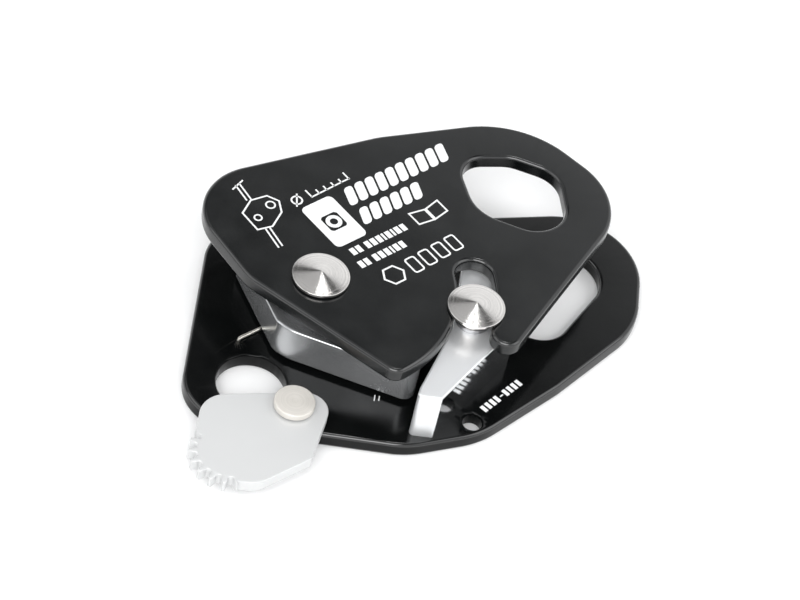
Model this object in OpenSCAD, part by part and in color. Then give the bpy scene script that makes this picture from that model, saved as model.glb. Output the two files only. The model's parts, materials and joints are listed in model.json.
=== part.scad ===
// Rope grab for 11 mm rope: two flat side plates on one pivot, a sprung clamping cam,
// a fixed jaw and a toothed locking lever. Millimetres, +Z up, resting on the back plate.
// The origin is on the main pivot's axis at the back plate's underside, +X towards the latch pin.

/* [Overall] */
// Distance from the main pivot to the latch pin
span = 36.8; // [31:0.1:45]
// Rope diameter
rope_d = 11; // [9:0.5:14]
// Thickness of each side plate
plate_t = 4; // [3:0.1:5]
// Angle the front plate stands open from closed
open_angle = 17.2; // [0:0.1:60]

/* [Pivot] */
// Diameter of the main pivot's shank
pivot_d = 7; // [5.5:0.1:9]
// Diameter of the conical heads
head_d = 13.6; // [12:0.1:18]
// Wall of the sleeve round the main pivot
sleeve_wall = 1.45; // [1:0.05:2.5]

/* [Spring] */
// Diameter of the spring wire
wire_d = 0.9; // [0.6:0.05:1.2]
// Number of turns in the spring
wire_turns = 4; // [2:1:6]

/* [Jaw and latch] */
// Diameter of the latch pin above the jaw
latch_d = 7.8; // [6:0.1:9]
// Diameter of the screws that hold the jaw
screw_d = 3; // [2.5:0.1:4]

/* [Lever] */
// Thickness of the toothed lever
lever_t = 3.2; // [2:0.1:4]
// Diameter of the lever stud's head
stud_head_d = 9.6; // [8:0.1:12]
// Diameter of the lever stud's shank
stud_d = 5; // [4:0.1:6]
// Number of gullets cut between the lever's teeth
gullets = 7; // [4:1:8]

/* [Holes] */
// Diameter of the big round hole in the back plate
big_hole_d = 16.5; // [14:0.1:19]
// Diameter of the small cord hole in the back plate
cord_hole_d = 4.8; // [4:0.1:6]

/* [Hidden] */
$fn = 64;

// plan unit: every outline below is stated for a span of 36.8
u = span / 36.8;
eps = 0.01;
tuck = 0.01;         // how far a straight side starts inside its corner circle
run = 0.05;          // running clearance on a radius or a face
edge = 0.5;          // chamfer at the rims of round holes
rope_room = 3;       // free height over the rope's own diameter
gap = rope_d + rope_room;
under_plate = 3;     // free height between the cam and the front plate
hair = 0.1;          // gap between the jaw and the front plate

// heights
back_top = plate_t;
front_low = plate_t + gap;
front_top = front_low + plate_t;
cam_lift = wire_d + 0.3;
cam_low = back_top + cam_lift + run;
cam_top = front_low - under_plate;
wave_t = 0.3;
head_low = front_top + wave_t + 2 * run;
head_rim = 0.7;
head_cone = 1.3;
tip_r = 0.2;

// main pivot and what sits round it
pivot_r = pivot_d / 2;
sleeve_in = pivot_r + run;
sleeve_out = sleeve_in + sleeve_wall;
coil_room = 0.2;     // gap between the sleeve and the coil
coil_r = sleeve_out + coil_room + wire_d / 2;
coil_pitch = wire_d + 2 * eps;
recess_room = 0.5;   // gap between the coil and its recess
recess_r = coil_r + wire_d / 2 + recess_room;
recess_h = wire_turns * coil_pitch + coil_room;
seat_sink = 0.4;
seat_w = 2.9;
seat_out = recess_r + seat_w;
spacer_w = 2.5;
wave_w = 2.4;
tail_w = 2.5;
tail_t = 1.4;
flare = 0.8;

// spring legs
leg_z = back_top + run + wire_d / 2;
leg_angle = 44.7;
leg_len = 16.8 * u;
leg_tip = [coil_r * cos(leg_angle + 90) - leg_len * cos(leg_angle),
           coil_r * sin(leg_angle + 90) - leg_len * sin(leg_angle)];
hook_angle = 60;
hook_len = 2;
end_room = 0.35;     // gap past the end of the hook and of the foot
foot_len = 2;
leg_slim = 0.03;     // the long leg is this much thinner than the coil
leg_hole_r = wire_d / 2 + 0.15;

// side plates: centre x, centre y and radius of each corner, anticlockwise
back_corners = u * [[-15.1, 17.7, 13], [-14.2, -20.4, 12.7], [21.6, -9.4, 21], [28.8, -2.5, 24],
                    [39.9, 13.8, 26], [55.5, 28.8, 22], [58.5, 35.6, 18.8]];
back_eye = u * [[45.5, 24, 5], [53.5, 18.9, 7.2], [57.5, 33.2, 9.8], [48.5, 33, 8.5]];
front_eye = u * [[46.9, 31.8, 6.4], [51.4, 26.8, 10.4], [55.5, 22.2, 8.4], [56, 27.5, 8.2], [51.3, 29.1, 9]];
big_hole_at = u * [-11, -20];
cord_hole_at = u * [41.2, -18.4];

// arc slot in the front plate, centred on the main pivot
slot_gap = 0.4;
collar_w = 0.25;
slot_r = latch_d / 2 + collar_w + slot_gap;
slot_mid = span + 0.2;
overlap = 0.05;
left_lobe_at = u * [13.5, -25.7];
left_lobe_r = slot_mid - slot_r - norm(left_lobe_at);
right_lobe_at = u * [41.3, -18.5];
right_lobe_r = norm(right_lobe_at) - slot_mid - slot_r + overlap;
lobe_angle = atan2(right_lobe_at[1], right_lobe_at[0]);
front_corners = [u * [-8.9, 21.2, 15.7], u * [-6, 8.4, 13.1],
                 [left_lobe_at[0], left_lobe_at[1], left_lobe_r],
                 [right_lobe_at[0], right_lobe_at[1], right_lobe_r],
                 u * [56.7, 23.3, 18.8], u * [47.9, 23.9, 25.4], u * [27, 20.4, 26]];
mouth_angle = -60;
mouth_flare = 10;
mouth_normal = 106;
mouth_reach = span / 2;

// cam: round boss with a flat back, a thumb lobe and a long arm
boss_r = 12.3 * u;
flat_at = 11.6 * u;
flat_angle = 210;
cam_lobe = u * [-15.5, 11.5, 4.2];
cam_arm = u * [23.9, -14.4, 2.8];

// fixed jaw: centre x, centre y and radius of each corner, anticlockwise
jaw_corners = u * [[33.9, 16.5, 1.5], [28, -25.2, 1.1], [32.2, -25.4, 0.5], [44.6, 2.6, 3],
                   [40.2, 15, 3]];
jaw_waist = u * [32.4, -3.5];
jaw_hollow_from = jaw_corners[1][0] - 1.2 * jaw_corners[1][2];
jaw_hollow_out = jaw_waist[0] - 10 * u;
jaw_top = front_low - hair;
jaw_screws = u * [[32, -14], [37.6, 11.6]];
collar_h = 1;
latch_r = latch_d / 2;
latch_foot_r = latch_r - 0.7;
screw_r = screw_d / 2;
screw_head_r = screw_d;
screw_bite = 7;      // length of screw in the jaw
screw_len = plate_t + screw_bite;
screw_hole_more = 1;
screw_sink = 0.2;
socket_r = screw_d * 0.36;
socket_depth = 1;

// lever: centre x, centre y and radius of each corner, anticlockwise
stud_at = u * [-0.3, -27.7];
lever_corners = u * [[-14.2, -34.7, 7], [-12.6, -44.7, 8.5], [-7.7, -46.2, 6.5],
                     [4.8, -41.6, 1.2], [2.7, -27.8, 5.1]];
tooth_at = u * [-12.6, -44.7];
tooth_r = 9.4 * u;
tooth_first = 151;
tooth_last = 291;
tooth_pitch = (tooth_last - tooth_first) / gullets;
gullet_depth = 2 * u;
gullet_r = 4.9 * u / gullets;
tooth_steps = 8;
washer_t = 0.3;
lever_low = back_top + washer_t + run;
lever_top = lever_low + lever_t;
stud_head_low = lever_top + wave_t + 2 * run;
stud_head_t = 1.6;
stud_r = stud_d / 2;
stud_head_r = stud_head_d / 2;
stud_edge = 0.3;
stud_tail_w = 1.7;
stud_cover = 0.4;    // how far the stud's head reaches past its wave washer

// Direction, in degrees, of the outside normal of the tangent from circle a to circle b.
function tangent_normal(a, b) =
    atan2(b[1] - a[1], b[0] - a[0]) - acos((a[2] - b[2]) / norm([b[0] - a[0], b[1] - a[1]]));

// Point just inside circle c in direction ang.
function on_circle(c, ang) =
    [c[0] + (c[2] - tuck) * cos(ang), c[1] + (c[2] - tuck) * sin(ang)];

// Tangent points all the way round a ring of corner circles.
function tangent_points(c) =
    [for (i = [0 : len(c) - 1])
        let (k = (i + 1) % len(c), n = tangent_normal(c[i], c[k]))
        each [on_circle(c[i], n), on_circle(c[k], n)]];

// Closed outline with straight sides and round corners.
module rounded_outline(corners, fn = 128) {
    polygon(tangent_points(corners));
    for (c = corners)
        translate([c[0], c[1]])
            circle(r = c[2], $fn = fn);
}

// Ring between two radii, from one height to another.
module ring(inner, outer, low, high) {
    translate([0, 0, low])
        difference() {
            cylinder(r = outer, h = high - low, $fn = 96);
            translate([0, 0, -eps])
                cylinder(r = inner, h = high - low + 2 * eps, $fn = 96);
        }
}

// Through hole with a chamfer at both rims.
module chamfered_hole(r, low, high) {
    translate([0, 0, low - eps])
        cylinder(r = r, h = high - low + 2 * eps, $fn = 96);
    translate([0, 0, low - eps])
        cylinder(r1 = r + edge + eps, r2 = r, h = edge + eps, $fn = 96);
    translate([0, 0, high - edge])
        cylinder(r1 = r, r2 = r + edge + eps, h = edge + eps, $fn = 96);
}

// Low conical head: a short rim and a shallow cone.
module conical_head(r, low) {
    translate([0, 0, low])
        cylinder(r = r, h = head_rim, $fn = 128);
    translate([0, 0, low + head_rim])
        cylinder(r1 = r, r2 = tip_r, h = head_cone, $fn = 128);
}

// Shank with a tail spread into a countersunk ring at the underside.
module spread_tail_shank(r, high) {
    cylinder(r = r, h = high, $fn = 96);
    cylinder(r1 = r + flare, r2 = r, h = flare, $fn = 96);
}

// Room for a shank and its tail ring in the back plate.
module tail_seat(r, ring_r) {
    translate([0, 0, -eps])
        cylinder(r = r + run, h = plate_t + 2 * eps, $fn = 96);
    translate([0, 0, -eps])
        cylinder(r = ring_r + run, h = tail_t + run + eps, $fn = 96);
}

// Countersunk ring let into the underside.
module tail_ring(r, ring_r) {
    difference() {
        cylinder(r = ring_r, h = tail_t, $fn = 96);
        translate([0, 0, -eps])
            cylinder(r = r + run, h = tail_t + 2 * eps, $fn = 96);
        translate([0, 0, -eps])
            cylinder(r1 = r + run + flare + eps, r2 = r + run, h = flare + eps, $fn = 96);
    }
}

module back_plate() {
    color([0.07, 0.08, 0.085])
    difference() {
        linear_extrude(height = plate_t)
            difference() {
                rounded_outline(back_corners);
                rounded_outline(back_eye);
            }
        tail_seat(pivot_r, pivot_r + tail_w);
        translate([0, 0, back_top - seat_sink])
            cylinder(r = seat_out + run, h = seat_sink + eps, $fn = 96);
        translate([span, 0, 0])
            tail_seat(latch_foot_r, latch_foot_r + tail_w);
        translate([stud_at[0], stud_at[1], 0])
            tail_seat(stud_r, stud_r + stud_tail_w);
        translate([big_hole_at[0], big_hole_at[1], 0])
            chamfered_hole(big_hole_d / 2, 0, plate_t);
        translate([cord_hole_at[0], cord_hole_at[1], 0])
            chamfered_hole(cord_hole_d / 2, 0, plate_t);
        for (p = jaw_screws)
            translate([p[0], p[1], 0])
                screw_room();
        translate([leg_tip[0], leg_tip[1], back_top - foot_len])
            cylinder(r = leg_hole_r, h = foot_len + eps);
    }
}

// Clearance for one countersunk screw through the back plate.
module screw_room() {
    translate([0, 0, -eps])
        cylinder(r = screw_r + run, h = plate_t + 2 * eps);
    translate([0, 0, -eps])
        cylinder(r = screw_head_r + run, h = screw_sink + run + eps);
    translate([0, 0, screw_sink + run])
        cylinder(r1 = screw_head_r + run, r2 = screw_r + run, h = screw_head_r - screw_r);
}

// Outline of the front plate in its closed position.
module front_outline() {
    difference() {
        rounded_outline(front_corners);
        rounded_outline(front_eye);
        circle(r = pivot_r + run, $fn = 96);
        slot_outline();
    }
    translate(right_lobe_at)
        circle(r = right_lobe_r + 2 * tuck, $fn = 96);
}

// Slot that closes onto the latch pin, with its mouth cut free of the right lobe.
module slot_outline() {
    reach = 2 * span;
    translate([slot_mid, 0])
        circle(r = slot_r + 2 * tuck, $fn = 96);
    intersection() {
        difference() {
            circle(r = slot_mid + slot_r, $fn = 192);
            circle(r = slot_mid - slot_r, $fn = 192);
        }
        polygon([[0, 0], [reach, 0], [reach, -reach],
                 [reach * cos(mouth_angle - mouth_flare), reach * sin(mouth_angle - mouth_flare)]]);
    }
    polygon([[slot_mid * cos(lobe_angle), slot_mid * sin(lobe_angle)],
             right_lobe_at,
             [right_lobe_at[0] - mouth_reach * cos(mouth_normal),
              right_lobe_at[1] - mouth_reach * sin(mouth_normal)],
             [reach * cos(mouth_angle), reach * sin(mouth_angle)],
             [slot_mid * cos(mouth_angle), slot_mid * sin(mouth_angle)]]);
}

module front_plate() {
    color([0.09, 0.1, 0.105])
    rotate([0, 0, open_angle])
        translate([0, 0, front_low])
            linear_extrude(height = plate_t)
                front_outline();
}

module main_pivot() {
    color([0.75, 0.74, 0.72]) {
        spread_tail_shank(pivot_r, head_low + eps);
        conical_head(head_d / 2, head_low);
    }
}

module pivot_sleeve() {
    color([0.7, 0.7, 0.7])
    ring(sleeve_in, sleeve_out, back_top - seat_sink, front_low - run);
}

module pivot_wave_washer() {
    color([0.5, 0.5, 0.5])
    ring(pivot_r + run, pivot_r + wave_w, front_top + run, front_top + run + wave_t);
}

module pivot_tail_ring() {
    color([0.6, 0.6, 0.6])
    tail_ring(pivot_r, pivot_r + tail_w);
}

// Plan outline of the cam, before its bore and recess.
module cam_outline() {
    boss = [0, 0, boss_r];
    reach = 4 * boss_r;
    intersection() {
        rounded_outline([cam_lobe, boss, cam_arm], 192);
        rotate(flat_angle)
            translate([flat_at - 2 * reach, -reach])
                square([2 * reach, 2 * reach]);
    }
}

module cam_block() {
    color([0.82, 0.83, 0.85])
    difference() {
        translate([0, 0, cam_low])
            linear_extrude(height = cam_top - cam_low)
                cam_outline();
        translate([0, 0, cam_low - eps])
            cylinder(r = sleeve_out + run, h = cam_top - cam_low + 2 * eps, $fn = 96);
        translate([0, 0, cam_low - eps])
            cylinder(r = recess_r, h = recess_h + eps, $fn = 96);
        translate([coil_r * cos(hook_angle), coil_r * sin(hook_angle), cam_low + recess_h - eps])
            cylinder(r = leg_hole_r, h = hook_len + 2 * eps);
    }
}

// Ring that lifts the cam, with a channel for the spring's long leg.
module cam_seat_ring() {
    color([0.45, 0.45, 0.46])
    difference() {
        ring(recess_r, seat_out, back_top - seat_sink, back_top + cam_lift);
        translate([coil_r * cos(leg_angle + 90), coil_r * sin(leg_angle + 90), back_top])
            rotate([0, 0, leg_angle + 180])
                translate([0, -wire_d / 2 - coil_room, 0])
                    cube([leg_len, wire_d + 2 * coil_room, 2 * cam_lift]);
    }
}

// Half section of the closed coil: one round per turn, joined by a narrow web.
module coil_section() {
    web = wire_d / 3;
    for (k = [0 : wire_turns - 1])
        translate([coil_r, leg_z + k * coil_pitch])
            circle(r = wire_d / 2);
    translate([coil_r - web / 2, leg_z])
        square([web, (wire_turns - 1) * coil_pitch]);
}

module cam_spring() {
    $fn = 20;
    wire_r = wire_d / 2;
    top_z = leg_z + (wire_turns - 1) * coil_pitch;
    foot_low = back_top - foot_len + end_room;
    hook_top = cam_low + recess_h + hook_len - end_room;
    color([0.72, 0.7, 0.66]) {
        rotate_extrude($fn = 80)
            coil_section();
        translate([coil_r * cos(leg_angle + 90), coil_r * sin(leg_angle + 90), leg_z])
            rotate([0, 90, leg_angle + 180])
                cylinder(r = wire_r - leg_slim, h = leg_len);
        translate([leg_tip[0], leg_tip[1], leg_z])
            sphere(r = wire_r + 2 * eps);
        translate([leg_tip[0], leg_tip[1], foot_low])
            cylinder(r = wire_r, h = leg_z - foot_low);
        translate([coil_r * cos(hook_angle), coil_r * sin(hook_angle), top_z])
            cylinder(r = wire_r, h = hook_top - top_z);
    }
}

module cam_spacer() {
    color([0.6, 0.6, 0.61])
    ring(sleeve_out + run, sleeve_out + spacer_w, cam_top + run, front_low - run);
}

// Plan outline of the fixed jaw, hollowed a little on the rope's side.
module jaw_outline() {
    difference() {
        rounded_outline(jaw_corners, 96);
        polygon([[jaw_hollow_from, jaw_corners[1][1]],
                 [jaw_waist[0], jaw_waist[1]],
                 [jaw_waist[0], jaw_corners[0][1]],
                 [jaw_hollow_out, jaw_corners[0][1]],
                 [jaw_hollow_out, jaw_corners[1][1]]]);
    }
}

module wedge_block() {
    color([0.85, 0.86, 0.87])
    difference() {
        translate([0, 0, back_top])
            linear_extrude(height = jaw_top - back_top)
                jaw_outline();
        translate([span, 0, back_top - eps])
            cylinder(r = latch_foot_r + run, h = gap + 2 * eps, $fn = 96);
        for (p = jaw_screws)
            translate([p[0], p[1], back_top - eps])
                cylinder(r = screw_r + run, h = screw_bite + screw_hole_more + eps);
    }
}

module wedge_screws() {
    color([0.4, 0.4, 0.42])
    for (p = jaw_screws)
        translate([p[0], p[1], 0])
            difference() {
                union() {
                    translate([0, 0, screw_sink])
                        cylinder(r1 = screw_head_r, r2 = screw_r, h = screw_head_r - screw_r);
                    translate([0, 0, screw_sink])
                        cylinder(r = screw_r, h = screw_len - screw_sink);
                }
                translate([0, 0, -eps])
                    cylinder(r = socket_r, h = socket_depth + screw_sink + eps, $fn = 6);
            }
}

module latch_pin() {
    color([0.75, 0.74, 0.72])
    translate([span, 0, 0]) {
        spread_tail_shank(latch_foot_r, jaw_top);
        translate([0, 0, jaw_top])
            cylinder(r = latch_r, h = head_low - jaw_top, $fn = 96);
        conical_head(head_d / 2, head_low);
    }
}

module latch_collar() {
    color([0.65, 0.65, 0.65])
    translate([span, 0, 0])
        ring(latch_r + run, latch_r + collar_w + run, jaw_top + run, jaw_top + collar_h);
}

module latch_tail_ring() {
    color([0.6, 0.6, 0.6])
    translate([span, 0, 0])
        tail_ring(latch_foot_r, latch_foot_r + tail_w);
}

// Plan outline of the toothed lever.
module lever_outline() {
    difference() {
        union() {
            rounded_outline(lever_corners, 96);
            intersection() {
                translate(tooth_at)
                    circle(r = tooth_r, $fn = 128);
                translate(tooth_at)
                    polygon([[0, 0],
                             for (k = [0 : tooth_steps])
                                 let (a = tooth_first + k * (tooth_last - tooth_first) / tooth_steps)
                                 2 * tooth_r * [cos(a), sin(a)]]);
            }
        }
        for (k = [0 : gullets - 1])
            translate(tooth_at)
                rotate(tooth_first + (k + 0.5) * tooth_pitch)
                    gullet();
    }
}

// One rounded gullet, pointing outwards along +X.
module gullet() {
    root = tooth_r - gullet_depth;
    half_pitch = tooth_r * sin(tooth_pitch / 2);
    translate([root + gullet_r, 0])
        circle(r = gullet_r);
    polygon([[root + gullet_r, tuck - gullet_r],
             [tooth_r + gullet_r, -half_pitch],
             [tooth_r + gullet_r, half_pitch],
             [root + gullet_r, gullet_r - tuck]]);
}

module toothed_lever() {
    color([0.86, 0.87, 0.87])
    difference() {
        translate([0, 0, lever_low])
            linear_extrude(height = lever_t)
                lever_outline();
        translate([stud_at[0], stud_at[1], lever_low - eps])
            cylinder(r = stud_r + run, h = lever_t + 2 * eps, $fn = 96);
    }
}

module lever_stud() {
    color([0.78, 0.76, 0.73])
    translate([stud_at[0], stud_at[1], 0]) {
        spread_tail_shank(stud_r, stud_head_low + eps);
        translate([0, 0, stud_head_low])
            cylinder(r = stud_head_r, h = stud_head_t - stud_edge, $fn = 96);
        translate([0, 0, stud_head_low + stud_head_t - stud_edge])
            cylinder(r1 = stud_head_r, r2 = stud_head_r - stud_edge, h = stud_edge, $fn = 96);
    }
}

module lever_washer() {
    color([0.5, 0.5, 0.5])
    translate([stud_at[0], stud_at[1], 0])
        ring(stud_r + run, stud_r + tail_w, back_top, back_top + washer_t);
}

module lever_wave_washer() {
    color([0.4, 0.4, 0.4])
    translate([stud_at[0], stud_at[1], 0])
        ring(stud_r + run, stud_head_r - stud_cover, lever_top + run, lever_top + run + wave_t);
}

module stud_tail_ring() {
    color([0.6, 0.6, 0.6])
    translate([stud_at[0], stud_at[1], 0])
        tail_ring(stud_r, stud_r + stud_tail_w);
}

back_plate();
front_plate();
main_pivot();
pivot_sleeve();
pivot_wave_washer();
pivot_tail_ring();
cam_block();
cam_seat_ring();
cam_spring();
cam_spacer();
wedge_block();
wedge_screws();
latch_pin();
latch_collar();
latch_tail_ring();
toothed_lever();
lever_stud();
lever_washer();
lever_wave_washer();
stud_tail_ring();
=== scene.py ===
"""Looks of a rope grab: rounded plates, satin cam and jaw, turned heads, a wound spring, plain marks."""
import json
import math

import bmesh
import bpy
from mathutils import Matrix, Vector


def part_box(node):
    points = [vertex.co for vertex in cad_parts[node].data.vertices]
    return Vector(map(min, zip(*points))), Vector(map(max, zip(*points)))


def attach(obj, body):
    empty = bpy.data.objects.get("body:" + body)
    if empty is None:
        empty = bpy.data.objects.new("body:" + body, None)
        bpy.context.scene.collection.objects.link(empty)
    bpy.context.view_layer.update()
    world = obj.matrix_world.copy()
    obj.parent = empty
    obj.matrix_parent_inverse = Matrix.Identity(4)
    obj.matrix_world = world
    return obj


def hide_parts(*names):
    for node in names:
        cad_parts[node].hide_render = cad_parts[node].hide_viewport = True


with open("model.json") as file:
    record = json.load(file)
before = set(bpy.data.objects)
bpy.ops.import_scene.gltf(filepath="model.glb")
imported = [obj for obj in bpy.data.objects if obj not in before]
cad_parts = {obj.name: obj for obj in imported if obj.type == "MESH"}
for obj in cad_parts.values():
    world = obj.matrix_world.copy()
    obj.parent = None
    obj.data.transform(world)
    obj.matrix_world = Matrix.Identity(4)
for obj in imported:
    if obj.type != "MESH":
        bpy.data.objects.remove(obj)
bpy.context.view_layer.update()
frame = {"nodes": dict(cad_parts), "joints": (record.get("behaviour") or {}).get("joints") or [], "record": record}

MM = 0.001
MERGE = 1e-6
RECORD = frame["record"]
BODY_OF = {n: body for body, members in RECORD["behaviour"]["bodies"].items() for n in members}
JOINT = {j["name"]: j for j in frame["joints"]}

# ---------------------------------------------------------------- places read from the frame


def middle(node):
    """Plan centre of a node's box."""
    low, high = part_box(node)
    return Vector(((low.x + high.x) / 2, (low.y + high.y) / 2))


def half_width(node):
    """Half of a node's box along X."""
    low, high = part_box(node)
    return (high.x - low.x) / 2


OPEN_ANGLE = -JOINT["front_plate_swing"]["range_deg"][0]
PIVOT = middle("main_pivot")
LATCH = middle("latch_pin")
STUD = middle("lever_stud")
BACK_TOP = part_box("wedge_block")[0].z
FRONT_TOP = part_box("front_plate")[1].z

# ---------------------------------------------------------------- material helpers


class Shader:
    """A new material and short ways to add its nodes."""

    def __init__(self, name, **values):
        self.material = bpy.data.materials.new(name)
        self.material.use_nodes = True
        self.tree = self.material.node_tree
        self.bsdf = self.tree.nodes["Principled BSDF"]
        for label, value in values.items():
            self.bsdf.inputs[label.replace("_", " ")].default_value = value

    def node(self, kind, **settings):
        made = self.tree.nodes.new(kind)
        for label, value in settings.items():
            setattr(made, label, value)
        return made

    def link(self, out, into):
        self.tree.links.new(out, into)

    def place(self):
        return self.node("ShaderNodeTexCoord").outputs["Object"]

    def noise(self, scale, detail=4.0, roughness=0.5, vector=None):
        made = self.node("ShaderNodeTexNoise")
        made.inputs["Scale"].default_value = scale
        made.inputs["Detail"].default_value = detail
        made.inputs["Roughness"].default_value = roughness
        self.link(vector or self.place(), made.inputs["Vector"])
        return made.outputs["Fac"]

    def spread(self, value, low, high, start=0.3, end=0.7):
        """value from start to end becomes low to high."""
        made = self.node("ShaderNodeMapRange")
        labels = ("From Min", "From Max", "To Min", "To Max")
        for label, number in zip(labels, (start, end, low, high)):
            made.inputs[label].default_value = number
        self.link(value, made.inputs["Value"])
        return made.outputs["Result"]

    def maths(self, operation, first, second=None):
        made = self.node("ShaderNodeMath", operation=operation)
        for socket, value in zip(made.inputs, (first, second)):
            if isinstance(value, (int, float)):
                socket.default_value = value
            elif value is not None:
                self.link(value, socket)
        return made.outputs["Value"]

    def colours(self, factor, first, second):
        made = self.node("ShaderNodeMix", data_type="RGBA")
        made.inputs["A"].default_value = (*first, 1)
        made.inputs["B"].default_value = (*second, 1)
        self.link(factor, made.inputs["Factor"])
        return made.outputs["Result"]

    def mask(self, name):
        return self.node("ShaderNodeAttribute", attribute_name=name).outputs["Fac"]

    def bump(self, height, strength, distance):
        made = self.node("ShaderNodeBump")
        made.inputs["Strength"].default_value = strength
        made.inputs["Distance"].default_value = distance
        self.link(height, made.inputs["Height"])
        self.link(made.outputs["Normal"], self.bsdf.inputs["Normal"])

    def colour(self, out):
        self.link(out, self.bsdf.inputs["Base Color"])

    def rough(self, out):
        self.link(out, self.bsdf.inputs["Roughness"])


def radius_from(shader, centre):
    """Distance from an upright axis at that plan point."""
    shift = shader.node("ShaderNodeVectorMath", operation="SUBTRACT")
    shift.inputs[1].default_value = (centre.x, centre.y, 0)
    shader.link(shader.place(), shift.inputs[0])
    flat = shader.node("ShaderNodeVectorMath", operation="MULTIPLY")
    flat.inputs[1].default_value = (1, 1, 0)
    shader.link(shift.outputs["Vector"], flat.inputs[0])
    length = shader.node("ShaderNodeVectorMath", operation="LENGTH")
    shader.link(flat.outputs["Vector"], length.inputs[0])
    return length.outputs["Value"]


def shaded(tone, share):
    """A tone with that share of its brightness."""
    return tuple(c * share for c in tone)


# ---------------------------------------------------------------- materials, with noise scales per metre

RIM_SHEEN = 0.8
RIM_POLISH = 0.08
RIM_WEAR = 0.6
TOOL_RINGS = 2400
FINE_BUMP = 0.03 * MM
WAVE_BUMP = 0.4 * MM


def anodised(name, dark, light, rough_low, rough_high, sheen):
    """Black anodising: faint cloudiness, fine grain, and glossier, a little worn rims."""
    s = Shader(name)
    rim = s.mask("rim")
    s.link(s.spread(rim, sheen, RIM_SHEEN, 0.1, 0.9), s.bsdf.inputs["Specular IOR Level"])
    cloud = s.noise(scale=90, detail=3)
    fine = s.noise(scale=2600, detail=2)
    patches = s.spread(s.noise(scale=420, detail=6, roughness=0.65), 0, 1, 0.52, 0.7)
    wear = s.maths("MULTIPLY", rim, patches)
    shade = s.maths("ADD", s.spread(cloud, 0, 0.7), s.maths("MULTIPLY", wear, RIM_WEAR))
    s.colour(s.colours(shade, dark, light))
    polish = s.maths("MULTIPLY", rim, RIM_POLISH)
    smooth = s.maths("SUBTRACT", s.spread(cloud, rough_low, rough_high), polish)
    s.rough(s.maths("ADD", smooth, s.spread(fine, -0.02, 0.02)))
    s.bump(fine, 0.12, FINE_BUMP)
    return s.material


def tumbled(name, tone, metallic, rough):
    """Tumbled metal: soft waviness under a fine even grain."""
    s = Shader(name, Metallic=metallic)
    wave = s.noise(scale=70, detail=2)
    grain = s.noise(scale=2200, detail=3)
    s.colour(s.colours(s.spread(wave, 0, 1), tone, shaded(tone, 0.94)))
    s.rough(s.maths("ADD", s.spread(wave, rough - 0.03, rough + 0.03), s.spread(grain, -0.01, 0.01)))
    s.bump(wave, 0.06, WAVE_BUMP)
    return s.material


def jaw_finish(name, tone):
    """Satin top and nose, with a mirror-polished wall on the +X side."""
    s = Shader(name)
    apart = s.node("ShaderNodeSeparateXYZ")
    s.link(s.node("ShaderNodeTexCoord").outputs["Normal"], apart.inputs[0])
    wall = s.spread(apart.outputs["X"], 0, 1, 0.45, 0.8)
    wave = s.noise(scale=70, detail=2)
    grain = s.noise(scale=2600, detail=3)
    s.colour(s.colours(s.spread(wave, 0, 1), tone, shaded(tone, 0.96)))
    s.link(s.spread(wall, 0.6, 1.0, 0, 1), s.bsdf.inputs["Metallic"])
    s.rough(s.maths("ADD", s.spread(wall, 0.3, 0.1, 0, 1), s.spread(grain, -0.01, 0.01)))
    s.bump(wave, 0.06, WAVE_BUMP)
    return s.material


def turned(name, centre, tone, rough, pitch=0.16 * MM, strength=0.3, fan=0.75, metallic=1.0):
    """Turned metal: concentric tool lines round an upright axis, which fan out the light."""
    s = Shader(name, Metallic=metallic, Anisotropic=fan, Anisotropic_Rotation=0.25)
    tangent = s.node("ShaderNodeTangent", direction_type="RADIAL", axis="Z")
    s.link(tangent.outputs["Tangent"], s.bsdf.inputs["Tangent"])
    radius = radius_from(s, centre)
    groove = s.maths("SINE", s.maths("MULTIPLY", radius, 2 * math.pi / pitch))
    uneven = s.noise(scale=700, detail=4)
    ring = s.node("ShaderNodeTexNoise", noise_dimensions="1D")
    ring.inputs["Scale"].default_value = 1.0
    ring.inputs["Detail"].default_value = 3
    s.link(s.maths("MULTIPLY", radius, TOOL_RINGS), ring.inputs["W"])
    rings = ring.outputs["Fac"]
    s.colour(s.colours(s.spread(rings, 0, 1), tone, shaded(tone, 0.9)))
    s.rough(s.maths("ADD", s.spread(rings, rough - 0.05, rough + 0.06), s.spread(uneven, -0.03, 0.03)))
    s.bump(s.maths("ADD", s.maths("MULTIPLY", groove, 0.5), rings), strength, 0.02 * MM)
    return s.material


def satin(name, tone, metallic, rough):
    """Blasted and plated metal: an even fine grain with faint cloudiness."""
    s = Shader(name, Metallic=metallic)
    cloud = s.noise(scale=60, detail=3)
    grain = s.noise(scale=3800, detail=2)
    s.colour(s.colours(s.spread(cloud, 0, 1), tone, shaded(tone, 0.97)))
    s.rough(s.maths("ADD", s.spread(cloud, rough - 0.03, rough + 0.03), s.spread(grain, -0.04, 0.04)))
    s.bump(grain, 0.15, FINE_BUMP)
    return s.material


def drawn_wire(name, tone):
    """Drawn steel wire: a warm metal with a fine uneven skin."""
    s = Shader(name, Metallic=1.0)
    streak = s.noise(scale=1500, detail=4)
    s.colour(s.colours(s.spread(streak, 0, 1), tone, shaded(tone, 0.8)))
    s.rough(s.spread(streak, 0.3, 0.45))
    s.bump(streak, 0.1, FINE_BUMP)
    return s.material


def printed(name, tone):
    """White marking: chalky, a little uneven."""
    s = Shader(name, Specular_IOR_Level=0.3)
    grain = s.noise(scale=1800, detail=3)
    s.colour(s.colours(s.spread(grain, 0, 1), tone, shaded(tone, 0.93)))
    s.rough(s.spread(grain, 0.55, 0.7))
    s.bump(grain, 0.1, 0.02 * MM)
    return s.material


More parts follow.
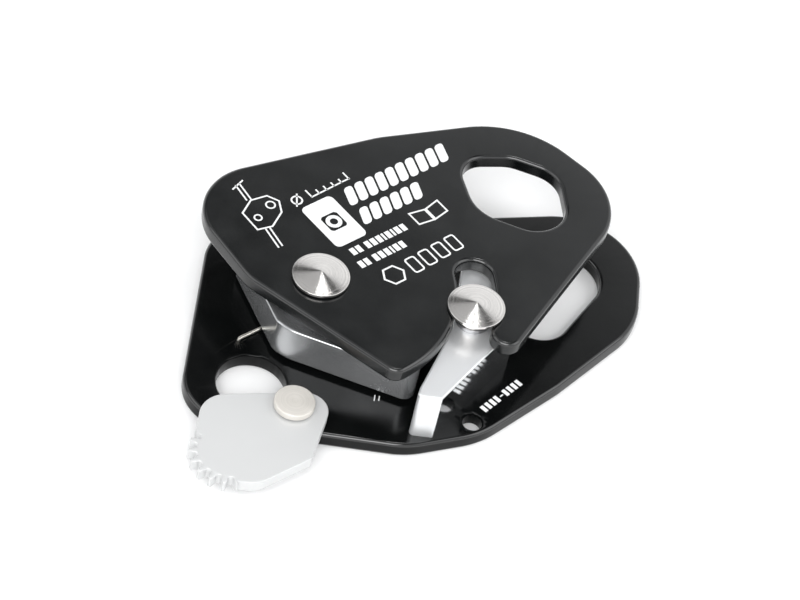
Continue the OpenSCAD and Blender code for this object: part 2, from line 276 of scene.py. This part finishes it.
def pale_floor(name, tone):
    """Matt studio paper."""
    s = Shader(name, Specular_IOR_Level=0.2)
    grain = s.noise(scale=25, detail=4)
    s.colour(s.colours(s.spread(grain, 0, 1), tone, shaded(tone, 0.99)))
    s.rough(s.spread(grain, 0.6, 0.7))
    return s.material


MATERIAL = {
    "front_black": anodised("front_black", dark=(0.0034, 0.0040, 0.0042), light=(0.007, 0.0078, 0.008),
                            rough_low=0.19, rough_high=0.25, sheen=0.48),
    "back_black": anodised("back_black", dark=(0.0022, 0.0025, 0.0026), light=(0.0045, 0.005, 0.005),
                           rough_low=0.12, rough_high=0.17, sheen=0.17),
    "cam_steel": tumbled("cam_steel", (0.56, 0.57, 0.58), metallic=0.86, rough=0.24),
    "jaw_steel": jaw_finish("jaw_steel", (0.78, 0.79, 0.80)),
    "pale_lever": satin("pale_lever", (0.60, 0.605, 0.605), metallic=0.25, rough=0.42),
    "spring_wire": drawn_wire("spring_wire", (0.80, 0.77, 0.70)),
    "mark_white": printed("mark_white", (0.80, 0.81, 0.81)),
}
HEAD_TONE = (0.74, 0.72, 0.70)
STUD_TONE = (0.74, 0.71, 0.66)
PLAIN_TONE = (0.42, 0.42, 0.43)
DARK_TONE = (0.10, 0.10, 0.105)
FLOOR_TONE = (0.96, 0.96, 0.96)

# ---------------------------------------------------------------- mesh helpers


def added(name, data):
    """A new object in the scene."""
    made = bpy.data.objects.new(name, data)
    bpy.context.scene.collection.objects.link(made)
    return made


def meshed(bm, name):
    """The mesh of a finished bmesh, which is let go."""
    mesh = bpy.data.meshes.new(name)
    bm.to_mesh(mesh)
    bm.free()
    return mesh


def finished(mesh, name, node, material, crease=32):
    """Makes the piece that stands for a CAD node, rides it on the node's body and gives it its finish."""
    piece = added(name, mesh)
    mesh.materials.append(material)
    for face in mesh.polygons:
        face.use_smooth = True
    mesh.set_sharp_from_angle(angle=math.radians(crease))
    shading = piece.modifiers.new("even_shading", "WEIGHTED_NORMAL")
    shading.keep_sharp = True
    shading.weight = 80
    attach(piece, BODY_OF[node])
    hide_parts(node)
    return piece


def chained(edges):
    """Closed loops of vertices from edges that meet end to end, in a fixed order."""
    left = {e.index: e for e in sorted(edges, key=lambda e: e.index)}
    loops = []
    while left:
        edge = left.pop(min(left))
        loop = [edge.verts[0], edge.verts[1]]
        while loop[-1] is not loop[0]:
            step = next(e for e in loop[-1].link_edges if e.index in left)
            left.pop(step.index)
            loop.append(step.other_vert(loop[-1]))
        loops.append(loop[:-1])
    return loops


RIM_FADE = 0.35
SHARPEST_MITRE = 0.5


def round_rim(bm, loop, level, up, size, steps, rim):
    """Rounds the rim between upright walls and a flat face, and returns the flat face's new edges.
    size is how far the rounding comes in, and how far down."""
    outward = []
    for vert, after in zip(loop, loop[1:] + loop[:1]):
        edge = bm.edges.get((vert, after))
        wall = next(f for f in edge.link_faces if abs(f.normal.z) < 0.5)
        outward.append(Vector((wall.normal.x, wall.normal.y, 0)).normalized())
    starts = [v.co.copy() for v in loop]
    rings = [loop]
    for k in range(1, steps + 1):
        turn = math.pi / 2 * k / steps
        inset = size[0] * (1 - math.cos(turn))
        drop = size[1] * (1 - math.sin(turn))
        ring = []
        for i, start in enumerate(starts):
            before, after = outward[i - 1], outward[i]
            mitre = (before + after) / max(1 + before.dot(after), SHARPEST_MITRE)
            made = bm.verts.new((*(start - mitre * inset).xy, level - up * drop))
            made[rim] = 1.0 if k < steps else RIM_FADE
            ring.append(made)
        rings.append(ring)
    for vert in loop:
        vert.co.z = level - up * size[1]
    for low_ring, high_ring in zip(rings, rings[1:]):
        for i in range(len(loop)):
            j = (i + 1) % len(loop)
            bm.faces.new((low_ring[i], low_ring[j], high_ring[j], high_ring[i]))
    top = rings[-1]
    return [bm.edges.get((v, w)) for v, w in zip(top, top[1:] + top[:1])]


def width_of(loop):
    """The longer side of a loop's box."""
    xs = [v.co.x for v in loop]
    ys = [v.co.y for v in loop]
    return max(max(xs) - min(xs), max(ys) - min(ys))


def soften(node, name, material, under=None, over=None, narrowest=0.0, steps=5, crease=32):
    """A copy of a flat-sided CAD node with the rims under and over it rounded by those sizes.
    Openings less wide than narrowest keep their rims."""
    low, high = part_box(node)
    bm = bmesh.new()
    bm.from_mesh(frame["nodes"][node].data)
    bmesh.ops.remove_doubles(bm, verts=bm.verts, dist=MERGE)
    bm.normal_update()
    rim = bm.verts.layers.float.new("rim")
    for level, up, size in ((low.z, -1, under), (high.z, 1, over)):
        if not size:
            continue
        bm.verts.index_update()
        bm.edges.index_update()
        flat = [f for f in bm.faces if f.normal.z * up > 0.999]
        caps = {f for f in flat if abs(f.verts[0].co.z - level) < MERGE}
        edges = [e for e in bm.edges if sum(f in caps for f in e.link_faces) == 1]
        border = []
        for loop in chained(edges):
            if width_of(loop) > narrowest:
                border += round_rim(bm, loop, level, up, size, steps, rim)
            else:
                border += [bm.edges.get((v, w)) for v, w in zip(loop, loop[1:] + loop[:1])]
        bmesh.ops.delete(bm, geom=sorted(caps, key=lambda f: f.index), context="FACES_KEEP_BOUNDARY")
        bmesh.ops.triangle_fill(bm, edges=border, use_beauty=True, normal=(0, 0, up))
    bmesh.ops.recalc_face_normals(bm, faces=bm.faces)
    return finished(meshed(bm, name), name, node, material, crease)


def lathe(name, node, centre, profile, material, sides=160):
    """A closed solid of revolution, from a profile of (radius, height) from the bottom to the top."""
    bm = bmesh.new()
    rows = []
    for radius, height in profile:
        if radius == 0:
            rows.append([bm.verts.new((centre.x, centre.y, height))])
            continue
        turns = (2 * math.pi * k / sides for k in range(sides))
        row = [(centre.x + radius * math.cos(t), centre.y + radius * math.sin(t), height) for t in turns]
        rows.append([bm.verts.new(place) for place in row])
    for a, b in zip(rows, rows[1:]):
        for k in range(sides):
            j = (k + 1) % sides
            corners = [a[k % len(a)], a[j % len(a)], b[j % len(b)], b[k % len(b)]]
            unique = list(dict.fromkeys(corners))
            if len(unique) > 2:
                bm.faces.new(unique)
    bmesh.ops.recalc_face_normals(bm, faces=bm.faces)
    return finished(meshed(bm, name), name, node, material)


def arc_points(centre_r, centre_z, radius, start, end, steps=5):
    """Points of a round in a lathe's profile, with angles in degrees from straight outwards."""
    turns = (math.radians(start + (end - start) * k / steps) for k in range(steps + 1))
    return [(centre_r + radius * math.cos(t), centre_z + radius * math.sin(t)) for t in turns]


# ---------------------------------------------------------------- plates, cam, jaw and lever


def even(size):
    """A rounding that comes as far in as it goes down, from millimetres."""
    return size * MM, size * MM


PLATE_ROUND = even(0.9)
CAM_UNDER = even(0.25)
CAM_OVER = (0.8 * MM, 0.4 * MM)
JAW_ROUND = even(0.45)
LEVER_ROUND = even(0.3)

soften("front_plate", "front_plate_rounded", MATERIAL["front_black"], PLATE_ROUND, PLATE_ROUND,
       narrowest=12 * MM)
soften("back_plate", "back_plate_rounded", MATERIAL["back_black"], PLATE_ROUND, PLATE_ROUND,
       narrowest=22 * MM)
soften("cam_block", "cam_satin", MATERIAL["cam_steel"], CAM_UNDER, CAM_OVER, narrowest=14 * MM, crease=16)
soften("wedge_block", "jaw_polished", MATERIAL["jaw_steel"], over=JAW_ROUND, narrowest=12 * MM)
soften("toothed_lever", "lever_softened", MATERIAL["pale_lever"], LEVER_ROUND, LEVER_ROUND, steps=3)

# ---------------------------------------------------------------- turned heads

PLAY = 0.05 * MM
TAIL_FLARE = 0.8 * MM
RIM_ROUND = 0.16 * MM
HEAD_RIM = 0.7 * MM
TIP_R = 0.5 * MM
TIP_DROP = 0.1 * MM
PIVOT_WASHER_WIDTH = 2.4 * MM
LEVER_WASHER_WIDTH = 2.5 * MM
COLLAR_LEDGE = 0.3 * MM
LATCH_STEP = 0.7 * MM
STUD_HEAD = 1.6 * MM
STUD_BEVEL = 0.1 * MM
STUD_EDGE = 0.34 * MM
STUD_DISH = 0.06 * MM
STUD_CENTRE = 0.12
HEAD_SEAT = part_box("pivot_wave_washer")[1].z + PLAY


def spread_tail(shank):
    """The start of a profile whose tail is spread over its ring."""
    return [(0, 0), (shank + TAIL_FLARE, 0), (shank, TAIL_FLARE)]


def cone_head(node, name, centre, shank):
    """Shank, spread tail and low conical head with a softened rim and a blunt tip."""
    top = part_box(node)[1].z
    head_r = half_width(node)
    rim_top = HEAD_SEAT + HEAD_RIM
    profile = spread_tail(shank[0][0]) + shank
    profile += arc_points(head_r - RIM_ROUND, HEAD_SEAT + RIM_ROUND, RIM_ROUND, -90, 0)
    profile += arc_points(head_r - RIM_ROUND, rim_top - RIM_ROUND * 0.4, RIM_ROUND, 0, 78)
    profile += [(TIP_R, top - TIP_DROP), (TIP_R / 2, top - TIP_DROP * 0.3), (0, top)]
    lathe(name, node, centre, profile, turned(name, centre, HEAD_TONE, 0.17, fan=0.85))


def flat_head():
    """The lever's stud: a flat head with a rounded edge and a slightly dished face."""
    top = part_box("lever_stud")[1].z
    head_r = half_width("lever_stud")
    shank_r = half_width("lever_washer") - LEVER_WASHER_WIDTH - PLAY
    seat = top - STUD_HEAD
    profile = spread_tail(shank_r)
    profile += [(shank_r, seat), (head_r - STUD_BEVEL, seat), (head_r, seat + STUD_BEVEL)]
    profile += arc_points(head_r - STUD_EDGE, top - STUD_EDGE, STUD_EDGE, 0, 90)
    profile += [(head_r * STUD_CENTRE, top - 0.01 * MM), (0, top - STUD_DISH)]
    finish = turned("stud_turned", STUD, STUD_TONE, 0.38, strength=1.0, fan=0.2, metallic=0.4)
    lathe("stud_turned", "lever_stud", STUD, profile, finish)


pivot_r = half_width("pivot_wave_washer") - PIVOT_WASHER_WIDTH - PLAY
latch_r = half_width("latch_collar") - COLLAR_LEDGE
jaw_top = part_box("wedge_block")[1].z
cone_head("main_pivot", "pivot_turned", PIVOT, [(pivot_r, HEAD_SEAT)])
cone_head("latch_pin", "latch_turned", LATCH,
          [(latch_r - LATCH_STEP, jaw_top), (latch_r, jaw_top), (latch_r, HEAD_SEAT)])
flat_head()

# ---------------------------------------------------------------- spring

WIRE_D = 0.9 * MM
WIRE_R = 0.43 * MM
WIRE_SIDES = 20
WIRE_TURNS = 4
COIL_ROOM = 0.2 * MM
COIL_STEPS = 72
TURN_RISE = 0.92 * MM
LEG_ANGLE = math.radians(44.7)
HOOK_ANGLE = math.radians(60)
END_ROOM = 0.5 * MM
BEND = ((0, 0.9 * MM), (0.05 * MM, 0.45 * MM), (0.25 * MM, 0.1 * MM), (0.8 * MM, 0))
DOME = (25, 50, 75)


def tube(name, points, radius, node, material):
    """A round wire along a path, with domed ends."""
    bm = bmesh.new()
    turns = [2 * math.pi * k / WIRE_SIDES for k in range(WIRE_SIDES)]
    normal = (points[1] - points[0]).orthogonal().normalized()
    rows = []
    for i, point in enumerate(points):
        before, after = points[max(i - 1, 0)], points[min(i + 1, len(points) - 1)]
        tangent = (after - before).normalized()
        normal = (normal - tangent * normal.dot(tangent)).normalized()
        side = tangent.cross(normal)
        first = [-q for q in reversed(DOME)] if i == 0 else []
        last = list(DOME) if i == len(points) - 1 else []
        for q in (*first, 0, *last):
            centre = point + tangent * radius * math.sin(math.radians(q))
            r = radius * math.cos(math.radians(q))
            ring = [centre + (normal * math.cos(t) + side * math.sin(t)) * r for t in turns]
            rows.append([bm.verts.new(place) for place in ring])
    for a, b in zip(rows, rows[1:]):
        for k in range(WIRE_SIDES):
            j = (k + 1) % WIRE_SIDES
            bm.faces.new((a[k], a[j], b[j], b[k]))
    bm.faces.new(rows[0])
    bm.faces.new(rows[-1])
    bmesh.ops.recalc_face_normals(bm, faces=bm.faces)
    return finished(meshed(bm, name), name, node, material)


def spring_route():
    """Foot, bend, straight leg, wound turns and upright hook, from the bottom up."""
    low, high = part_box("cam_spring")
    coil_r = half_width("pivot_sleeve") + COIL_ROOM + WIRE_D / 2

    def on_coil(turn, z):
        return Vector((coil_r * math.cos(turn), coil_r * math.sin(turn), z))

    leg_z = BACK_TOP + WIRE_D / 2 + PLAY
    start = LEG_ANGLE + math.pi / 2
    along = Vector((-math.cos(LEG_ANGLE), -math.sin(LEG_ANGLE), 0))
    coil_start = on_coil(start, leg_z)
    leg_len = (low.x + WIRE_D / 2 - coil_start.x) / along.x
    tip = coil_start + along * leg_len
    route = [Vector((tip.x, tip.y, low.z + END_ROOM))]
    route += [tip - along * back - Vector((0, 0, down)) for back, down in BEND]
    route += [coil_start + along * leg_len * share for share in (0.75, 0.5, 0.25)]
    whole_steps = COIL_STEPS * (WIRE_TURNS - 1)
    for k in range(whole_steps + 1):
        route.append(on_coil(start - 2 * math.pi * k / COIL_STEPS, leg_z + TURN_RISE * k / COIL_STEPS))
    top_z = leg_z + TURN_RISE * (WIRE_TURNS - 1)
    left = (start - HOOK_ANGLE) % (2 * math.pi)
    last_steps = int(left / (2 * math.pi) * COIL_STEPS)
    route += [on_coil(start - left * k / last_steps, top_z) for k in range(1, last_steps + 1)]
    route.append(on_coil(HOOK_ANGLE, high.z - END_ROOM))
    return route


tube("spring_wound", spring_route(), WIRE_R, "cam_spring", MATERIAL["spring_wire"])

# ---------------------------------------------------------------- CAD nodes that keep their shape

STANDING = {
    "pivot_sleeve": (PLAIN_TONE, 0.3),
    "pivot_wave_washer": (DARK_TONE, 0.4),
    "pivot_tail_ring": (PLAIN_TONE, 0.35),
    "cam_seat_ring": (DARK_TONE, 0.45),
    "cam_spacer": (PLAIN_TONE, 0.35),
    "wedge_screws": (PLAIN_TONE, 0.35),
    "latch_collar": (PLAIN_TONE, 0.3),
    "latch_tail_ring": (PLAIN_TONE, 0.35),
    "lever_washer": (DARK_TONE, 0.4),
    "lever_wave_washer": (DARK_TONE, 0.4),
    "stud_tail_ring": (PLAIN_TONE, 0.35),
}
for node, (tone, rough) in STANDING.items():
    finish = turned(node + "_steel", middle(node), tone, rough, pitch=0.3 * MM, strength=0.2)
    shown = frame["nodes"][node]
    shown.data.materials.clear()
    shown.data.materials.append(finish)

# ---------------------------------------------------------------- marks

MARK_TURN = 29.0
MARK_RISE = 0.02 * MM
MARK_THICK = 0.03 * MM
LINE = 0.42
THIN = 0.4
SHARPEST_LINE = 0.4


class Marks:
    """Flat white shapes just above a plate, drawn in millimetres along the marks' own line."""

    def __init__(self, turn, level):
        self.bm = bmesh.new()
        self.turn = Matrix.Rotation(math.radians(turn), 2)
        self.level = level

    def line(self, points, height):
        """New vertices at that height above the plate."""
        flat = [self.turn @ Vector(point) * MM for point in points]
        return [self.bm.verts.new((x, y, self.level + height)) for x, y in flat]

    def strip(self, left, right, closed=False):
        """A band between two lines of as many points."""
        low_left, low_right = (self.line(points, MARK_RISE - MARK_THICK) for points in (left, right))
        top_left, top_right = (self.line(points, MARK_RISE) for points in (left, right))
        count = len(left)
        for i in range(count if closed else count - 1):
            j = (i + 1) % count
            self.bm.faces.new((top_left[i], top_right[i], top_right[j], top_left[j]))
            self.bm.faces.new((low_left[i], low_left[j], low_right[j], low_right[i]))
            self.bm.faces.new((low_left[i], top_left[i], top_left[j], low_left[j]))
            self.bm.faces.new((low_right[i], low_right[j], top_right[j], top_right[i]))
        if not closed:
            for i in (0, count - 1):
                self.bm.faces.new((low_left[i], low_right[i], top_right[i], top_left[i]))

    def bar(self, start, end, width):
        """A straight band."""
        a, b = Vector(start), Vector(end)
        across = (b - a).orthogonal().normalized() * width / 2
        self.strip([a + across, b + across], [a - across, b - across])

    def block(self, x, y, width, height):
        """An upright rectangle."""
        self.strip([(x, y), (x, y + height)], [(x + width, y), (x + width, y + height)])

    def lozenge(self, x, y, width, height, slant, corner, steps=6):
        """A leaning block with rounded corners."""
        turns = [math.pi / 2 * k / steps for k in range(steps + 1)]
        ends = [(corner * (1 - math.cos(t)), corner * (1 - math.sin(t))) for t in turns]
        sides = ends + [(height - rise, inset) for rise, inset in reversed(ends)]
        left = [(x + slant * rise / height + inset, y + rise) for rise, inset in sides]
        right = [(x + width + slant * rise / height - inset, y + rise) for rise, inset in sides]
        self.strip(left, right)

    def ring(self, x, y, radius, line, sides=40):
        """A round line, with its outer radius given."""
        turns = [2 * math.pi * k / sides for k in range(sides)]
        outer = [(x + radius * math.cos(t), y + radius * math.sin(t)) for t in turns]
        inner = [(x + (radius - line) * math.cos(t), y + (radius - line) * math.sin(t)) for t in turns]
        self.strip(outer, inner, closed=True)

    def outline(self, points, line):
        """A closed line of even width round a many-sided shape, drawn inwards."""
        count = len(points)
        inner = []
        for i in range(count):
            before, here, after = (Vector(points[(i + k) % count]) for k in (-1, 0, 1))
            n1 = (here - before).orthogonal().normalized()
            n2 = (after - here).orthogonal().normalized()
            inner.append(here + (n1 + n2) / max(1 + n1.dot(n2), SHARPEST_LINE) * line)
        self.strip(points, inner, closed=True)

    def done(self, name, body):
        """Makes the piece, and rides it on a body."""
        bmesh.ops.recalc_face_normals(self.bm, faces=self.bm.faces)
        mesh = meshed(self.bm, name)
        mesh.materials.append(MATERIAL["mark_white"])
        piece = added(name, mesh)
        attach(piece, body)


def rounded_box(x, y, width, height, corner, steps=5):
    """Points of a rectangle with round corners."""
    left, right, low, high = x + corner, x + width - corner, y + corner, y + height - corner
    points = []
    for cx, cy, start in ((right, low, -90), (right, high, 0), (left, high, 90), (left, low, 180)):
        for k in range(steps + 1):
            t = math.radians(start + 90 * k / steps)
            points.append((cx + corner * math.cos(t), cy + corner * math.sin(t)))
    return points


def emblem(m):
    """A filled tile with a round window and a ring in it."""
    x, y, width, height, corner = 9.4, 5.3, 9.2, 14.6, 1.4
    window_r, ring_r, ring_line = 3.1, 2.0, 1.0
    cx, cy = x + width / 2, y + height / 2
    tile = rounded_box(x, y, width, height, corner, steps=9)
    turns = [math.atan2((py - cy) / height, (px - cx) / width) for px, py in tile]
    m.strip(tile, [(cx + window_r * math.cos(t), cy + window_r * math.sin(t)) for t in turns], closed=True)
    m.ring(cx, cy, ring_r, ring_line)


def rope_lay(m):
    """Two bands of leaning lozenges, like the strands of a laid rope."""
    pitch, width, slant, corner = 3.15, 2.55, 2.0, 0.95
    for x, y, count, height in ((20.6, 14.4, 10, 5.5), (19.6, 7.9, 6, 4.9)):
        for k in range(count):
            m.lozenge(x + k * pitch, y, width, height, slant, corner)


def rope_size(m):
    """A ring with a stroke through it, then a short rule."""
    m.ring(10.6, 22.6, 1.5, LINE)
    m.bar((9.3, 20.9), (11.9, 24.3), THIN)
    first, base, pitch, long_tick, short_tick, last = 14.4, 21.6, 2.3, 2.6, 1.5, 5
    m.bar((14.2, base), (26.2, 21.9), THIN)
    for k in range(last + 1):
        x = first + pitch * k
        m.bar((x, base), (x, base + (long_tick if k in (0, last) else short_tick)), THIN)


def short_bars(m):
    """Two rows of short bars, wide and narrow, with a gap after the first two."""
    wide, narrow, gap, space, height = 1.3, 0.6, 0.45, 0.9, 2.2
    upper = (wide, wide, 0, wide, wide, wide, narrow, wide, narrow, wide, wide)
    lower = (wide, wide, 0, wide, wide, wide, narrow, wide, wide)
    for x, y, widths in ((11.3, 1.5, upper), (10.4, -2.7, lower)):
        for width in widths:
            if width:
                m.block(x, y, width, height)
            x += width + gap if width else space


def open_book(m):
    """Two leaning pages that meet at a spine."""
    spine, page_width = 35.6, 4.6
    for side in (-1, 1):
        edge = spine + side * page_width
        page = [(spine, 0.5), (edge, 1.2), (edge, 5.6), (spine, 4.7)]
        m.outline(page if side > 0 else page[::-1], LINE)


def hexagon_and_frames(m):
    """A hexagon, then a rising row of four small frames."""
    cx, cy, size, hexagon_line = 15.6, -8.2, 3.1, 0.45
    turns = [math.pi / 3 * k for k in range(6)]
    m.outline([(cx + size * math.cos(t), cy + size * math.sin(t)) for t in turns], hexagon_line)
    x, y, pitch, climb, width, height, corner = 20.4, -10.6, 4.2, 0.2, 3.1, 5.0, 0.8
    for k in range(4):
        m.outline(rounded_box(x + pitch * k, y + climb * k, width, height, corner), LINE)


def grab_on_rope(m):
    """A small outline of the grab with its two pins, on a rope that hangs from a bar."""
    for start, end in (((0.9, 34.0), (0.2, 28.6)), ((2.0, 34.0), (1.3, 28.4)),
                       ((-1.6, 19.0), (-2.6, 12.6)), ((-0.5, 18.8), (-1.5, 12.6)),
                       ((-0.6, 33.2), (3.4, 34.4))):
        m.bar(start, end, THIN)
    body = [(-3.6, 19.6), (0.4, 18.6), (5.2, 21.2), (7.0, 24.6), (5.4, 27.6), (1.0, 28.4), (-3.4, 26.0)]
    m.outline(body, LINE)
    for x, y, radius in ((-0.9, 22.8, 1.1), (4.2, 24.6, 1.3)):
        m.ring(x, y, radius, THIN, sides=24)


def front_marks():
    """Plain shapes with no lettering, in the places where the plate is printed."""
    m = Marks(OPEN_ANGLE + MARK_TURN, FRONT_TOP)
    for draw in (emblem, rope_lay, rope_size, short_bars, open_book, hexagon_and_frames, grab_on_rope):
        draw(m)
    m.done("front_marks", "front")


def back_marks():
    """A short row of bars near the jaw, and two index ticks near the cam's arm."""
    m = Marks(0, BACK_TOP)
    slope = math.radians(54.6)
    along = Vector((math.cos(slope), math.sin(slope)))
    up = Vector((-along.y, along.x))
    start = Vector((44.0, -14.9))
    bars, pitch, width, height, dash, dash_line = 9, 1.55, 1.0, 2.0, 1.0, 0.35
    for k in range(bars):
        p = start + along * pitch * k
        if k == bars // 2:
            dash_start = p + up * height / 2 + along * 0.1
            m.bar(dash_start, dash_start + along * dash, dash_line)
        else:
            foot = p + along * width / 2
            m.bar(foot, foot + up * height, width)
    tick_top, tick_line = -16.4, 0.28
    for x, length in ((17.8, 1.8), (18.85, 1.5)):
        m.bar((x, tick_top), (x, tick_top - length), tick_line)
    m.done("back_marks", "back")


front_marks()
back_marks()

# ---------------------------------------------------------------- floor, light and camera

FLOOR_HALF = 3.0
SKY_TONE = (0.98, 0.99, 1.0)
SKY_STRENGTH = 1.15
SKY_TILT = (-0.4, 0.0, 1.0)
# the surround's level against how high a direction lies over the tilted horizon
SKY_LEVELS = ((0.63, 1.0), (0.735, 0.06), (0.79, 0.10), (0.86, 0.55))
LIGHT_AIM = Vector((0.02, 0.0, 0.01))
# name, place, width, height and power
SOFTBOXES = (
    ("strip", (0.06, 0.30, 0.75), 0.05, 0.16, 0.3),
    ("front", (-0.1, -0.75, 0.85), 0.9, 0.6, 9),
    ("fill_right", (0.95, -0.1, 0.8), 0.9, 0.9, 3),
    ("fill_left", (-0.9, -0.2, 0.8), 0.9, 0.9, 3),
)
CAMERA_AZIMUTH = -2.87
CAMERA_ELEVATION = 46.62
CAMERA_ROLL = 13.435
CAMERA_DISTANCE = 0.8
CAMERA_LENS = 149.4
CAMERA_SENSOR = 36
CAMERA_TARGET = Vector((0.02008, 0.01881, 0.0))


def floor():
    """A wide pale sheet under the part."""
    bm = bmesh.new()
    bmesh.ops.create_grid(bm, x_segments=8, y_segments=8, size=FLOOR_HALF)
    mesh = meshed(bm, "floor")
    mesh.materials.append(pale_floor("floor", FLOOR_TONE))
    made = added("floor", mesh)


def surround():
    """A pale surround with a dark band high behind the part, which the plates mirror."""
    world = bpy.data.worlds.new("studio")
    world.use_nodes = True
    tree = world.node_tree
    background = tree.nodes["Background"]
    background.inputs["Color"].default_value = (*SKY_TONE, 1)
    height = tree.nodes.new("ShaderNodeVectorMath")
    height.operation = "DOT_PRODUCT"
    height.inputs[1].default_value = SKY_TILT
    ramp = tree.nodes.new("ShaderNodeValToRGB")
    ramp.color_ramp.interpolation = "EASE"
    stops = ramp.color_ramp.elements
    while len(stops) < len(SKY_LEVELS):
        stops.new(0.5)
    for stop, (place, level) in zip(stops, SKY_LEVELS):
        stop.position = place
        stop.color = (level, level, level, 1)
    strength = tree.nodes.new("ShaderNodeMath")
    strength.operation = "MULTIPLY"
    strength.inputs[1].default_value = SKY_STRENGTH
    tree.links.new(tree.nodes.new("ShaderNodeTexCoord").outputs["Generated"], height.inputs[0])
    tree.links.new(height.outputs["Value"], ramp.inputs["Fac"])
    tree.links.new(ramp.outputs["Color"], strength.inputs[0])
    tree.links.new(strength.outputs["Value"], background.inputs["Strength"])
    bpy.context.scene.world = world


def softbox(name, place, width, height, power):
    """A rectangular studio light turned to the part."""
    data = bpy.data.lights.new(name, "AREA")
    data.shape = "RECTANGLE"
    data.size = width
    data.size_y = height
    data.energy = power
    made = added(name, data)
    made.location = place
    made.rotation_euler = (LIGHT_AIM - Vector(place)).to_track_quat("-Z", "Y").to_euler()


def camera():
    """A long lens from the front and above, rolled a little."""
    data = bpy.data.cameras.new("camera")
    data.lens = CAMERA_LENS
    data.sensor_width = CAMERA_SENSOR
    data.clip_start = 0.01
    data.clip_end = 20
    made = added("camera", data)
    a, e, r = (math.radians(v) for v in (CAMERA_AZIMUTH, CAMERA_ELEVATION, CAMERA_ROLL))
    back = Vector((math.sin(a) * math.cos(e), -math.cos(a) * math.cos(e), math.sin(e)))
    right = Vector((math.cos(a), math.sin(a), 0))
    up = back.cross(right)
    x_axis = math.cos(r) * right + math.sin(r) * up
    y_axis = -math.sin(r) * right + math.cos(r) * up
    place = Matrix((x_axis, y_axis, back)).transposed().to_4x4()
    place.translation = CAMERA_TARGET + back * CAMERA_DISTANCE
    made.matrix_world = place
    bpy.context.scene.camera = made


floor()
surround()
for box in SOFTBOXES:
    softbox(*box)
camera()
bpy.context.scene.view_settings.view_transform = "Standard"
